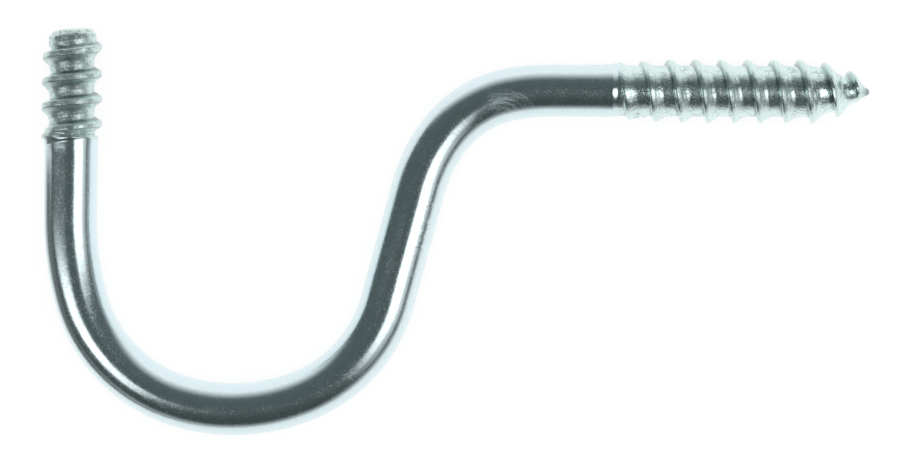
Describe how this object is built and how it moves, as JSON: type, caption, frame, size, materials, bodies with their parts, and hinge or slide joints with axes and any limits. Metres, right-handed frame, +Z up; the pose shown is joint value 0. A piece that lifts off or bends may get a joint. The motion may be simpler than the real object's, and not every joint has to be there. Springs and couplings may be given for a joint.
{
  "type": "insulator support screw",
  "caption": "Swan-neck bent round rod that holds a screw-on insulator clear of a post, with a wood thread on one end and a coarse insulator thread on the other.",
  "frame": {"origin": "centre of the outline seen from above, on the surface that the hook lies on", "axes": "+X along the wood thread towards its point, +Y along the post towards its end, +Z up from the side it lies on"},
  "size_m": [0.1097, 0.0538, 0.0084],
  "materials": {
    "zinc_steel": "bright zinc plated"
  },
  "bodies": {
    "root": {"support_screw": "zinc_steel"}
  },
  "joints": []
}
